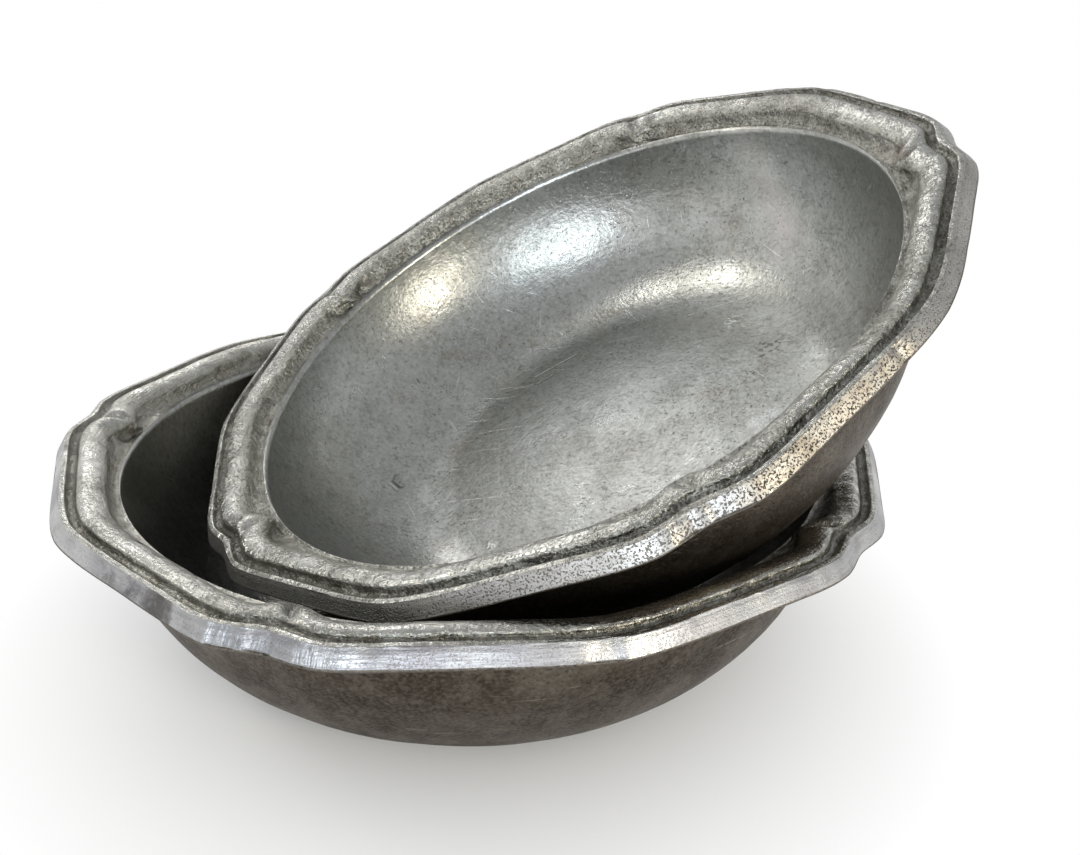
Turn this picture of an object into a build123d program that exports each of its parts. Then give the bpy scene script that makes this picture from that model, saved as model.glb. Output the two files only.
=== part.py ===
from build123d import *
import os
from bisect import bisect
from math import atan2, cos, pi, radians, sin, tan

# A pair of cast pewter bowls. Each has a round well, a flat foot and a five-lobed moulded rim.
# One bowl stands on the table. The other leans in it and rests on the first one's well edge.
# The origin is the middle of the standing bowl's foot, on the table, with +Z up.
# Lengths are millimetres and angles are degrees.

# Width of the rim outside the well, to the corners, shoulders and notches of its sharp outline
lobes = 5
corner_width = 13.4
shoulder_width = 12.4
notch_width = 11.1
shoulder_angle_share = 0.84
corner_round = 28.0
shoulder_round = 9.0

# Section of the rim, from the outside inwards
band_height = 3.0
band_flare = 1.7
lip_height = 0.7
lip_return = 0.4
underside_fall = 2.0
land_width = 1.5
quirk_width = 0.4
quirk_depth = 0.7
roll_width = 6.2
roll_rise = 1.4
roll_fall = 1.2
roll_steps = 6
cusp_depth = 0.8
scoop_sag = 0.8

# Well, wall and foot
depth = 42.0
well_radius = 68.8
well_drop = 4.0
rim_wall = 3.2
floor_radius = 40.0
floor_thickness = 4.0
foot_radius = 42.0
outer_upright_share = 0.44
outer_belly_share = 0.53
inner_upright_share = 0.52
inner_belly_share = 0.57

# Lean of the upper bowl
lean_tilt = 29.1
lean_direction = 205.8
lean_turn = 113.1
lean_shift_x_share = 0.208
lean_shift_y_share = 0.1
rest_gap = 0.3

# How far a cut or a buried joint runs past the surface that it crosses
overrun = 1.2

# How near the upper bowl is brought to its rest, and how straight a line is
closeness = 0.002

# Counts of points where the two bowls are measured against each other
wall_points = 16
ring_points = 180

half_lobe = pi / lobes
shoulder_angle = shoulder_angle_share * half_lobe
vertex_rounds = (corner_round, shoulder_round, 0, shoulder_round)
corner_reach = well_radius + corner_width
shoulder_reach = well_radius + shoulder_width
notch_reach = well_radius + notch_width
wall_radius = well_radius + rim_wall
roll_start = land_width + quirk_width
roll_end = roll_start + roll_width
lip_drop = band_height + lip_height
underside_drop = lip_drop + underside_fall
roll_foot_drop = quirk_depth + roll_fall


def polar(reach, angle):
    return Vector(reach * cos(angle), reach * sin(angle))


def outline_points():
    """The corner, shoulder, notch and shoulder of each lobe in turn, before rounding."""
    points = []
    for lobe in range(lobes):
        middle = 2 * half_lobe * lobe
        points.append(polar(corner_reach, middle))
        points.append(polar(shoulder_reach, middle + shoulder_angle))
        points.append(polar(notch_reach, middle + half_lobe))
        points.append(polar(shoulder_reach, middle + 2 * half_lobe - shoulder_angle))
    return points


def inset_points(inset, cusp):
    """The outline drawn in by a mitred inset, with each notch pulled in further by its cusp."""
    points = outline_points()
    moved = []
    for i, point in enumerate(points):
        before = (point - points[i - 1]).normalized()
        after = (points[(i + 1) % len(points)] - point).normalized()
        normals = Vector(before.Y + after.Y, -before.X - after.X)
        place = point - normals * (inset / (1 + before.dot(after)))
        if vertex_rounds[i % len(vertex_rounds)] == 0:
            place -= point.normalized() * cusp
        moved.append(place)
    return moved


# A ring is a closed chain of edges, each the start, middle and end point of a line or an arc.
def lobed_ring(inset, drop, cusp=0):
    points = inset_points(inset, cusp)
    down = Vector(0, 0, drop)
    arcs = []
    for i, point in enumerate(points):
        back = (points[i - 1] - point).normalized()
        on = (points[(i + 1) % len(points)] - point).normalized()
        radius = vertex_rounds[i % len(vertex_rounds)]
        half_turn = radians(180 - back.get_angle(on)) / 2
        run = radius * tan(half_turn)
        inward = (back + on).normalized() * (radius / cos(half_turn) - radius)
        arcs.append((point + back * run - down, point + inward - down, point + on * run - down))
    ring = []
    for i, arc in enumerate(arcs):
        if vertex_rounds[i % len(vertex_rounds)]:
            ring.append(arc)
        start = arc[2]
        end = arcs[(i + 1) % len(arcs)][0]
        ring.append((start, (start + end) / 2, end))
    return ring


def round_ring(like, radius, drop):
    """A circle cut into arcs at the same bearings as another ring's edges."""
    down = Vector(0, 0, drop)
    return [tuple(Vector(p.X, p.Y).normalized() * radius - down for p in edge) for edge in like]


def blended_ring(outer, inner, sag):
    """The ring halfway between two others, let down by a sag."""
    down = Vector(0, 0, sag)
    pairs = zip(outer, inner)
    return [tuple((p + q) / 2 - down for p, q in zip(edge, other)) for edge, other in pairs]


def ring_edge(start, middle, end):
    if (start + end - middle * 2).length > closeness:
        return Edge.make_three_point_arc(start, middle, end)
    return Edge.make_line(start, end)


def ring_wire(ring):
    return Wire([ring_edge(*edge) for edge in ring])


def rim_rings():
    """Rings from under the rim, round its outside and in over its mouldings to the well."""
    lip = lobed_ring(lip_return - band_flare, lip_drop)
    rings = [round_ring(lip, wall_radius - overrun, underside_drop), lip]
    rings.append(lobed_ring(-band_flare, band_height))
    rings.append(lobed_ring(0, 0))
    rings.append(lobed_ring(land_width, 0))
    for step in range(roll_steps + 1):
        share = step / roll_steps
        inset = roll_start + roll_width * (1 - cos(pi * share)) / 2
        drop = quirk_depth + roll_fall * share - roll_rise * sin(pi * share)
        rings.append(lobed_ring(inset, drop, cusp_depth * share))
    roll_foot = rings[-1]
    slope = (well_drop - roll_foot_drop) / (notch_width - roll_end - cusp_depth)
    well_edge = round_ring(roll_foot, well_radius - overrun, well_drop + overrun * slope)
    rings.append(blended_ring(roll_foot, well_edge, scoop_sag))
    rings.append(well_edge)
    return rings


def moulded_rim():
    return Solid.make_loft([ring_wire(ring) for ring in rim_rings()], ruled=True)


def wall_curve(top, bottom, upright_share, belly_share):
    """A bowl's wall in section: steep at the rim, rounded below and level where it meets the foot."""
    upright = Vector(0, (top.Y - bottom.Y) * upright_share)
    belly = Vector((top.X - bottom.X) * belly_share, 0)
    return Bezier(top, top - upright, bottom + belly, bottom)


def outer_curve():
    top = Vector(wall_radius, -underside_drop)
    return wall_curve(top, Vector(foot_radius, -depth), outer_upright_share, outer_belly_share)


def inner_curve():
    top = Vector(well_radius, -well_drop)
    bottom = Vector(floor_radius, floor_thickness - depth)
    return wall_curve(top, bottom, inner_upright_share, inner_belly_share)


def turned(curve, points):
    """The section between a wall curve and the axis, closed through the given points and turned."""
    chain = [curve @ 1] + [Vector(*point) for point in points] + [curve @ 0]
    lines = [Line(start, end) for start, end in zip(chain, chain[1:])]
    return revolve(Plane.XZ * make_face([curve] + lines), Axis.Z)


def bowl():
    """One bowl, with the middle of its rim's top at the origin."""
    buried_top = (lip_drop + underside_drop) / 2
    body = turned(outer_curve(), [(0, -depth), (0, -buried_top), (wall_radius, -buried_top)])
    clear_top = roll_rise + overrun
    well = turned(inner_curve(), [(0, floor_thickness - depth), (0, clear_top), (well_radius, clear_top)])
    return body + moulded_rim() - well


def flat_length(point):
    return Vector(point.X, point.Y).length


def sampled_ring(ring):
    wire = ring_wire(ring)
    return [wire @ (step / ring_points) for step in range(ring_points)]


def outline_reaches():
    """The bearing of each point round the rim's outline and its distance from the axis."""
    spots = sampled_ring(lobed_ring(0, 0))
    return sorted((atan2(spot.Y, spot.X), flat_length(spot)) for spot in spots)


def reach_on(bearing, outline):
    """How far the outline stands from the axis on a bearing, read between two of its points."""
    after = bisect(outline, (bearing, 0)) % len(outline)
    start, start_reach = outline[after - 1]
    end, end_reach = outline[after]
    share = ((bearing - start) % (2 * pi)) / ((end - start) % (2 * pi))
    return start_reach + (end_reach - start_reach) * share


def side_of(profile, reach, height):
    """Distance from a point to an open profile, above zero on the left of its direction."""
    nearest = None
    for (r0, z0), (r1, z1) in zip(profile, profile[1:]):
        dr = r1 - r0
        dz = z1 - z0
        along = ((reach - r0) * dr + (height - z0) * dz) / (dr * dr + dz * dz)
        along = min(1, max(0, along))
        away_r = reach - r0 - along * dr
        away_z = height - z0 - along * dz
        gap = (away_r * away_r + away_z * away_z) ** 0.5
        if nearest is None or gap < abs(nearest):
            nearest = gap if dr * (height - z0) - dz * (reach - r0) > 0 else -gap
    return nearest


def sampled(curve):
    places = [curve @ (step / wall_points) for step in range(wall_points + 1)]
    return [(place.X, place.Y) for place in places]


def seat_gap(place, under, over, outline, lower_edges, upper_edges):
    """The least gap between the two bowls with the upper one at a place."""
    gaps = []
    back = place.inverse()
    for point in lower_edges:
        spot = (back * Pos(point)).position
        rim = reach_on(atan2(spot.Y, spot.X), outline)
        band = [(rim, 0), (rim + band_flare, -band_height), (rim + band_flare - lip_return, -lip_drop)]
        gaps.append(side_of(band + under, flat_length(spot), spot.Z))
    for point in upper_edges:
        spot = (place * Pos(point)).position
        gaps.append(side_of(over, flat_length(spot), spot.Z))
    return min(gaps)


def leaning(lift):
    turn = Rotation(0, 0, lean_direction) * Rotation(0, lean_tilt, 0) * Rotation(0, 0, lean_turn)
    return Pos(lean_shift_x_share * well_radius, lean_shift_y_share * well_radius, lift) * turn


def seated():
    """The upper bowl's place, let down until the rest gap is all that is left below it."""
    under = sampled(outer_curve()) + [(0, -depth)]
    roll_foot = (notch_reach - roll_end - cusp_depth, -roll_foot_drop)
    over = [(0, floor_thickness - depth)] + sampled(inner_curve())[::-1] + [roll_foot, (notch_reach, 0)]
    outline = outline_reaches()
    arris = lobed_ring(0, 0)
    lower_edges = sampled_ring(arris) + sampled_ring(round_ring(arris, well_radius, well_drop))
    upper_edges = sampled_ring(lobed_ring(-band_flare, band_height))
    upper_edges += sampled_ring(round_ring(arris, foot_radius, depth))
    lift = depth
    step = depth / 4
    while step > closeness:
        if seat_gap(leaning(lift - step), under, over, outline, lower_edges, upper_edges) < rest_gap:
            step /= 2
        else:
            lift -= step
    print("the upper bowl's rim is", round(lift, 2), "mm above the lower one's")
    return leaning(lift)


standing = Pos(0, 0, depth)
one_bowl = bowl()
parts = {"lower_bowl": standing * one_bowl, "upper_bowl": standing * seated() * one_bowl}

os.makedirs("parts", exist_ok=True)
for name, part in parts.items():
    export_step(part, f"parts/{name}.step")
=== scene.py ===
# %% [markdown]
# A pair of cast pewter bowls, one standing and one leaning in it.
# Each bowl is one casting: a round well turned on a lathe, inside a five-lobed moulded rim that was left
# mostly as it came from the mould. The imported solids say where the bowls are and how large.
# Here each bowl gets a fine mesh that follows the same rule, and the finishes that old pewter has.

# %% Frame
from math import atan, cos, hypot, pi, radians, sin

import bpy
import numpy as np
from mathutils import Matrix, Vector, noise


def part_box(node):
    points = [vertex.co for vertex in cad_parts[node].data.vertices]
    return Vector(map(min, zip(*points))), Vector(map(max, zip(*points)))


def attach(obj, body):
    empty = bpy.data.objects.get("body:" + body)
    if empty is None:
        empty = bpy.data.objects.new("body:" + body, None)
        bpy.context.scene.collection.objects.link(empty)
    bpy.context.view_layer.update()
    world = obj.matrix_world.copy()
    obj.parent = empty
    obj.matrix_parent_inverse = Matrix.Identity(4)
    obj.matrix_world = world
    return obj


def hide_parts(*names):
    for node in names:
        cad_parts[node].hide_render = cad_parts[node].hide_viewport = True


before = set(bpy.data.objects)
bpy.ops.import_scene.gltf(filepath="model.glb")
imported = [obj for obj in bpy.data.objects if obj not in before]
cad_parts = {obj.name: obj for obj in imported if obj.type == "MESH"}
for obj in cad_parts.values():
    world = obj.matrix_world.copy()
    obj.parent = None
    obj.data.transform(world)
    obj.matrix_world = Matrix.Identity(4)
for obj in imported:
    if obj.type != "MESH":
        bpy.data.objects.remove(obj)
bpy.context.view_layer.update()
scene = bpy.context.scene
MM = 0.001

# %% [markdown]
# The sizes are those of the bowls themselves, in millimetres, measured from the middle of the rim's top.
# A rim like this could be drawn point by point, but five equal lobes are a rule, so a rule draws them:
# a long side to each half of a lobe, a soft corner between the halves, and a short side into the notch.
# The mould was worked by hand, so the long sides are a little hollow and every corner is rounded.

# %% Sizes
LOBES = 5
CORNER_REACH = 82.2
SHOULDER_REACH = 81.2
NOTCH_REACH = 79.9
SHOULDER_SHARE = 0.84
CORNER_SOFTNESS = 7.5
NOTCH_SOFTNESS = 1.4
SHOULDER_SOFTNESS = 4.0
SIDE_HOLLOW = 0.35
CUSP_DEPTH = 1.9
NOTCH_DIP = 0.5

DEPTH = 42.0
WELL_RADIUS = 68.8
WELL_DROP = 4.0
WALL_RADIUS = 72.0
FLOOR_RADIUS = 40.0
FLOOR_DROP = 38.0
FOOT_RADIUS = 42.0

BAND_HEIGHT = 3.0
BAND_FLARE = 1.7
LIP_DROP = 3.7
LIP_RETURN = 0.4
UNDERSIDE_DROP = 5.7
GROOVE_WIDTH = 1.2
ROLL_START = 2.7
ROLL_WIDTH = 5.4
ROLL_RISE = 1.4
ROLL_FALL = 1.2
ROLL_SHARPNESS = 1.4
ROLL_LEAN = 0.75
QUIRK_DEPTH = 0.7
SCOOP_SAG = 0.4
print("reach to a corner", CORNER_REACH, "mm, depth", DEPTH, "mm")

# %% [markdown]
# The section of the bowl is a row of stations, from the middle of the well's floor over the rim to the
# middle of the foot. A station has a radius and an inset from the lobed outline, and a share says how far it
# follows the lobes: 0 in the turned well, 1 on the mouldings, and between them on the scoop that joins them.
# Each station also says how much hands rub it and how much dirt it holds. Bezier curves give the two walls.

# %% Section of the bowl
FIELDS = ("radius", "inset", "share", "height", "cusp", "wear", "grime", "zone")
TURNED, CAST, FILED, TARNISHED_AND_SHADED = range(4)
ROLL_END = ROLL_START + ROLL_WIDTH
stations = []


def station(radius, inset, share, height, wear=0.0, grime=0.0, zone=CAST):
    """A ring of the bowl. Its pull inwards at the notches grows from the rim's edge to the roll's foot."""
    cusp = NOTCH_DIP + (CUSP_DEPTH - NOTCH_DIP) * max(0.0, inset / ROLL_END)
    stations.append((radius, inset, share, height, cusp, wear, grime, zone))


def bezier(points, t):
    """A point on a cubic Bezier curve, each point being a radius and a height."""
    a, b, c, d = (np.array(p) for p in points)
    s = 1 - t
    return a * s**3 + 3 * b * s * s * t + 3 * c * s * t * t + d * t**3


def wall(top, bottom, upright_share, belly_share):
    """The four points of a wall's curve, steep at its top and level at its bottom."""
    upright = (top[0], top[1] - (top[1] - bottom[1]) * upright_share)
    belly = (bottom[0] + (top[0] - bottom[0]) * belly_share, bottom[1])
    return top, upright, belly, bottom


print("the roll ends", round(ROLL_END, 2), "mm in from the outline")

# %% [markdown]
# From the middle outwards come the flat floor, the wall, the well's edge with its small turned lip, the scoop
# and the roll. The roll is a half round that leans outwards; hands rub its crest, and dirt fills its feet.

# %% Stations of the well, the scoop and the roll
FLOOR_STEPS = 9
WALL_STEPS = 28
SCOOP_STEPS = 10
ROLL_STEPS = 16
INNER_WALL_SHARES = (0.52, 0.57)
SCOOP_RADIUS = WELL_RADIUS + 0.8
ROLL_FOOT_DROP = QUIRK_DEPTH + ROLL_FALL

for step in range(FLOOR_STEPS):
    station(FLOOR_RADIUS * step / FLOOR_STEPS, 0, 0, -FLOOR_DROP, zone=TURNED)
inner = wall((WELL_RADIUS, -WELL_DROP), (FLOOR_RADIUS, -FLOOR_DROP), *INNER_WALL_SHARES)
for step in range(WALL_STEPS):
    radius, height = bezier(inner, 1 - step / WALL_STEPS)
    station(radius, 0, 0, height, zone=TURNED)
station(WELL_RADIUS, 0, 0, -WELL_DROP - 0.12, wear=0.4, zone=TURNED)
station(WELL_RADIUS + 0.1, 0, 0, -WELL_DROP + 0.02, wear=0.5)
station(WELL_RADIUS + 0.45, 0, 0, -WELL_DROP + 0.02, wear=0.45)
station(SCOOP_RADIUS, 0, 0, -WELL_DROP - 0.16, grime=0.7)
for step in range(1, SCOOP_STEPS):
    share = step / SCOOP_STEPS
    height = -WELL_DROP + (WELL_DROP - ROLL_FOOT_DROP) * share - SCOOP_SAG * sin(pi * share)
    station(SCOOP_RADIUS, ROLL_END, share, height, grime=0.45 + 0.2 * share**2)
for step in range(ROLL_STEPS, -1, -1):
    share = step / ROLL_STEPS
    inset = ROLL_START + ROLL_WIDTH * (1 - cos(pi * share)) / 2
    crest = max(0.0, sin(pi * share**ROLL_LEAN))
    dirt = (1 - crest) * (1 - 0.5 * share)
    drop = QUIRK_DEPTH + ROLL_FALL * share - ROLL_RISE * crest**ROLL_SHARPNESS
    station(WELL_RADIUS, inset, 1, -drop, wear=min(1.0, 1.15 * crest) ** 3, grime=dirt)
print("stations so far", len(stations))

# %% [markdown]
# Outside the roll lie a groove, a thin bead along the edge, and the filed band that faces outwards. Below
# them the underside falls back to the wall. The bead's stations are close together, because its two edges
# catch the light.

# %% Stations of the edge, the band and the outside
GROOVE = ((0.1, 1.1), (0.45, 1.35), (0.8, 1.1))
BAND_STEPS = 6
UNDER_STEPS = 5
OUTER_STEPS = 22
OUTER_WALL_SHARES = (0.44, 0.53)
for share, depth in GROOVE:
    station(WELL_RADIUS, ROLL_START - GROOVE_WIDTH * share, 1, -depth, grime=1.0)
station(WELL_RADIUS, 1.52, 1, -0.45, grime=0.7)
station(WELL_RADIUS, 1.35, 1, -0.08, wear=1.0)
station(WELL_RADIUS, 0.95, 1, -0.0, wear=1.0)
station(WELL_RADIUS, 0.45, 1, -0.06, wear=0.6)
station(WELL_RADIUS, 0.2, 1, -0.12, wear=1.0)
station(WELL_RADIUS, 0.06, 1, -0.26, wear=1.0, zone=FILED)
station(WELL_RADIUS, 0.0, 1, -0.44, wear=0.7, zone=FILED)
for step in range(1, BAND_STEPS):
    share = step / BAND_STEPS
    height = -BAND_HEIGHT * share - 0.2 * (1 - share)
    station(WELL_RADIUS, -BAND_FLARE * share + 0.03, 1, height, zone=FILED)
station(WELL_RADIUS, 0.14 - BAND_FLARE, 1, -BAND_HEIGHT + 0.16, wear=0.6, zone=FILED)
station(WELL_RADIUS, 0.1 - BAND_FLARE, 1, -BAND_HEIGHT - 0.15, wear=0.4, zone=TARNISHED_AND_SHADED)
station(WELL_RADIUS, LIP_RETURN - BAND_FLARE + 0.1, 1, -LIP_DROP, grime=0.3, zone=TARNISHED_AND_SHADED)
for step in range(1, UNDER_STEPS):
    share = step / UNDER_STEPS
    height = -LIP_DROP - (UNDERSIDE_DROP - LIP_DROP) * share
    station(WALL_RADIUS, LIP_RETURN - BAND_FLARE + 0.1, 1 - share, height, grime=0.8, zone=TARNISHED_AND_SHADED)
outer = wall((WALL_RADIUS, -UNDERSIDE_DROP), (FOOT_RADIUS, -DEPTH), *OUTER_WALL_SHARES)
for step in range(OUTER_STEPS):
    radius, height = bezier(outer, step / OUTER_STEPS)
    station(radius, 0, 0, height, grime=0.7 * (1 - step / WALL_STEPS) ** 6, zone=TARNISHED_AND_SHADED)
for step in range(FLOOR_STEPS):
    share = 1 - step / (FLOOR_STEPS - 1)
    station(FOOT_RADIUS * share, 0, 0, -DEPTH, wear=0.5 * (step == 0), zone=TARNISHED_AND_SHADED)
print("stations in all", len(stations))

# %% [markdown]
# The stations become the points of a small mesh, with their values as attributes, which is how a Geometry
# Nodes tree can read a table.

# %% Section as a mesh
section_mesh = bpy.data.meshes.new("bowl_section")
section_mesh.vertices.add(len(stations))
for column, field in enumerate(FIELDS):
    attribute = section_mesh.attributes.new(field, "FLOAT", "POINT")
    scale = MM if field in ("radius", "inset", "height", "cusp") else 1
    attribute.data.foreach_set("value", [row[column] * scale for row in stations])
section = bpy.data.objects.new("bowl_section", section_mesh)
print("points in the section's mesh", len(section_mesh.vertices))

# %% [markdown]
# One helper adds a node, sets its properties, and sets or links its inputs. It serves the geometry tree here
# and the materials further on. The two kinds of node that come up most often get short names.

# %% Helper for nodes
MATH, VECTOR_MATH = "ShaderNodeMath", "ShaderNodeVectorMath"


def add(tree, kind, inputs=(), **settings):
    """A new node. Its inputs come as a list in their order, or by name; a socket or a node is linked."""
    new = tree.nodes.new(kind)
    for name, value in settings.items():
        setattr(new, name, value)
    for key, value in inputs.items() if isinstance(inputs, dict) else enumerate(inputs):
        if isinstance(value, bpy.types.Node):
            value = next(socket for socket in value.outputs if socket.enabled)
        if isinstance(value, bpy.types.NodeSocket):
            tree.links.new(value, new.inputs[key])
        elif value is not None:
            new.inputs[key].default_value = value
    return new


# %% [markdown]
# Geometry Nodes sweep the section round the axis. A grid has one column for each bearing and one row for
# each station. The columns crowd together at the notches, where the mouldings turn tightly.
# The outline's sides are worked out first: each is a straight line, given by its distance from the axis and
# the bearing of its normal, so that an inset just shortens the distance, as a mould maker's parallel line
# would.

# %% Inputs of the lobed bowl
half_lobe = pi / LOBES
shoulder_bearing = SHOULDER_SHARE * half_lobe


def side(start_reach, start_angle, end_reach, end_angle):
    """The distance from the axis and the normal's bearing of the line between two points of the outline."""
    x0, y0 = start_reach * cos(start_angle), start_reach * sin(start_angle)
    x1, y1 = end_reach * cos(end_angle), end_reach * sin(end_angle)
    length = hypot(x1 - x0, y1 - y0)
    normal = pi / 2 + atan((y1 - y0) / (x1 - x0))
    normal -= pi if normal > pi / 2 else 0.0
    return abs(x0 * y1 - x1 * y0) / length * MM, normal


front = side(CORNER_REACH, 0, SHOULDER_REACH, shoulder_bearing)
flank = side(SHOULDER_REACH, shoulder_bearing, NOTCH_REACH, half_lobe)
tree_inputs = {
    "Section": ("NodeSocketObject", section),
    "Bearings": ("NodeSocketInt", 800),
    "Crowding": ("NodeSocketFloat", 0.4),
    "Lobes": ("NodeSocketInt", LOBES),
    "Shoulder bearing": ("NodeSocketFloat", shoulder_bearing),
    "Corner softness": ("NodeSocketFloat", radians(CORNER_SOFTNESS)),
    "Notch softness": ("NodeSocketFloat", radians(NOTCH_SOFTNESS)),
    "Shoulder softness": ("NodeSocketFloat", SHOULDER_SOFTNESS * MM),
    "Side hollow": ("NodeSocketFloat", SIDE_HOLLOW * MM),
    "Front distance": ("NodeSocketFloat", front[0]),
    "Front normal": ("NodeSocketFloat", front[1]),
    "Flank distance": ("NodeSocketFloat", flank[0]),
    "Flank normal": ("NodeSocketFloat", flank[1]),
}
tree = bpy.data.node_groups.new("Lobed bowl", "GeometryNodeTree")
tree.interface.new_socket(name="Geometry", in_out="OUTPUT", socket_type="NodeSocketGeometry")
identifiers = {}
for name, (kind, value) in tree_inputs.items():
    identifiers[name] = tree.interface.new_socket(name=name, in_out="INPUT", socket_type=kind).identifier
given = add(tree, "NodeGroupInput").outputs
print("front side", [round(v, 4) for v in front], "flank", [round(v, 4) for v in flank])

# %% [markdown]
# Each point of the grid reads its column and its row from its index, and its station's values from the row.

# %% Grid and stations
rows = add(tree, "GeometryNodeObjectInfo", {"Object": given["Section"]}).outputs["Geometry"]
count = add(tree, "GeometryNodeAttributeDomainSize", [rows], component="MESH").outputs["Point Count"]
columns = add(tree, MATH, [given["Bearings"], 1], operation="ADD")
grid = add(tree, "GeometryNodeMeshGrid", {"Vertices X": columns, "Vertices Y": count})
index = add(tree, "GeometryNodeInputIndex")
row = add(tree, MATH, [index, count], operation="MODULO")
before = add(tree, MATH, [index, row], operation="SUBTRACT")
column = add(tree, MATH, [before, count], operation="DIVIDE")
sampled = {}
for field in FIELDS:
    named = add(tree, "GeometryNodeInputNamedAttribute", {"Name": field}, data_type="FLOAT")
    sampled[field] = add(tree, "GeometryNodeSampleIndex", {"Geometry": rows, "Value": named, "Index": row})
print("nodes that read the stations", len(tree.nodes))

# %% [markdown]
# A point's bearing folds into half a lobe. There the outline is the nearer of the two sides, blended softly.

# %% Bearing and outline
turned = add(tree, MATH, [column, given["Bearings"]], operation="DIVIDE")
even = add(tree, MATH, [turned, 2 * pi], operation="MULTIPLY")
beat = add(tree, MATH, [even, given["Lobes"]], operation="MULTIPLY")
swing = add(tree, MATH, [beat], operation="SINE")
pull = add(tree, MATH, [given["Crowding"], given["Lobes"]], operation="DIVIDE")
bearing = add(tree, MATH, [swing, pull, even], operation="MULTIPLY_ADD")

half = add(tree, MATH, [pi, given["Lobes"]], operation="DIVIDE")
minus_half = add(tree, MATH, [half, -1], operation="MULTIPLY")
wrapped = add(tree, MATH, [bearing, half, minus_half], operation="WRAP")
from_corner = add(tree, MATH, [wrapped], operation="ABSOLUTE")
to_notch = add(tree, MATH, [half, from_corner], operation="SUBTRACT")
corner_pair = add(tree, "ShaderNodeCombineXYZ", [from_corner, given["Corner softness"]])
notch_pair = add(tree, "ShaderNodeCombineXYZ", [to_notch, given["Notch softness"]])
round_corner = add(tree, VECTOR_MATH, [corner_pair], operation="LENGTH")
round_notch = add(tree, VECTOR_MATH, [notch_pair], operation="LENGTH")
from_notch = add(tree, MATH, [half, round_notch], operation="SUBTRACT")

sides = []
for name, angle in (("Front", round_corner), ("Flank", from_notch)):
    away = add(tree, MATH, [given[name + " distance"], sampled["inset"]], operation="SUBTRACT")
    oblique = add(tree, MATH, [angle, given[name + " normal"]], operation="SUBTRACT")
    slant = add(tree, MATH, [oblique], operation="COSINE")
    sides.append(add(tree, MATH, [away, slant], operation="DIVIDE"))
lobed = add(tree, MATH, [*sides, given["Shoulder softness"]], operation="SMOOTH_MIN")
print("nodes with the outline", len(tree.nodes))

# %% [markdown]
# The long sides are hollowed a little. At each notch the rim is drawn in: slightly at its edge and further
# at the roll's foot, as a cusp. Then the share mixes the lobed outline with the round well, and the point
# takes its place.

# %% Hollow sides, cusps and places
along_side = add(tree, "ShaderNodeMapRange", [from_corner, 0, given["Shoulder bearing"], 0, pi])
hollow = add(tree, MATH, [along_side], operation="SINE")
hollow = add(tree, MATH, [hollow, given["Side hollow"]], operation="MULTIPLY")
lobed = add(tree, MATH, [lobed, hollow], operation="SUBTRACT")
near_notch = add(tree, "ShaderNodeMapRange", [from_corner, given["Shoulder bearing"], half, 0, 1],
                 interpolation_type="SMOOTHSTEP")
cusp = add(tree, MATH, [near_notch, sampled["cusp"]], operation="MULTIPLY")
lobed = add(tree, MATH, [lobed, cusp], operation="SUBTRACT")
reach = add(tree, "ShaderNodeMix", [sampled["share"], None, sampled["radius"], lobed], data_type="FLOAT")
level = add(tree, "ShaderNodeCombineXYZ", [reach, 0, sampled["height"]])
place = add(tree, "ShaderNodeVectorRotate", {"Vector": level, "Angle": bearing}, rotation_type="Z_AXIS")
shape = add(tree, "GeometryNodeSetPosition", {"Geometry": grid.outputs["Mesh"], "Position": place})
stored = {"station": row, "wear": sampled["wear"], "grime": sampled["grime"], "zone": sampled["zone"]}
for name, value in stored.items():
    shape = add(tree, "GeometryNodeStoreNamedAttribute", {"Geometry": shape, "Name": name, "Value": value},
                data_type="FLOAT", domain="POINT")
shape = add(tree, "GeometryNodeMergeByDistance", {"Geometry": shape, "Distance": 0.002 * MM})
shape = add(tree, "GeometryNodeSetShadeSmooth", {"Geometry": shape, "Shade Smooth": True})
print("nodes with the places", len(tree.nodes))

# %% [markdown]
# The four finishes of the casting meet at sharp edges, so each face takes its finish from the stations that
# it lies between. The materials are made empty here and get their nodes further on.

# %% Finishes by zone
FINISHES = ("Lathe-turned pewter", "As-cast pewter", "Filed pewter", "Tarnished pewter with painted shade")
finishes = [bpy.data.materials.new(name) for name in FINISHES]
zone = add(tree, "GeometryNodeInputNamedAttribute", {"Name": "zone"}, data_type="FLOAT")
for number, material in enumerate(finishes):
    near = add(tree, "FunctionNodeCompare", {"A": zone, "B": float(number), "Epsilon": 0.51},
               operation="EQUAL", data_type="FLOAT")
    shape = add(tree, "GeometryNodeSetMaterial", {"Geometry": shape, "Selection": near, "Material": material})
shape = add(tree, "GeometryNodeRealizeInstances", [shape])
add(tree, "NodeGroupOutput", [shape])

holder = bpy.data.objects.new("bowl_maker", bpy.data.meshes.new("bowl_maker"))
scene.collection.objects.link(holder)
modifier = holder.modifiers.new("Lobed bowl", "NODES")
modifier.node_group = tree
for name, (kind, value) in tree_inputs.items():
    modifier[identifiers[name]] = value
depsgraph = bpy.context.evaluated_depsgraph_get()
plain_bowl = bpy.data.meshes.new_from_object(holder.evaluated_get(depsgraph), depsgraph=depsgraph)
bpy.data.objects.remove(holder)
bpy.data.objects.remove(section)
plain_bowl.update()
co = np.array([v.co for v in plain_bowl.vertices])
print("bowl mesh", len(plain_bowl.vertices), "points", len(plain_bowl.polygons), "faces")
print("its box in mm", (co.min(0) / MM).round(2), (co.max(0) / MM).round(2))

# %% [markdown]
# Both bowls are the same casting, put in two places. The standing bowl only moves up by its depth.
# The leaning one is turned about its own axis, tilted, and turned to the way it leans; where its middle
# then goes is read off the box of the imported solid, so that the mesh lies where the solid does.

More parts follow.
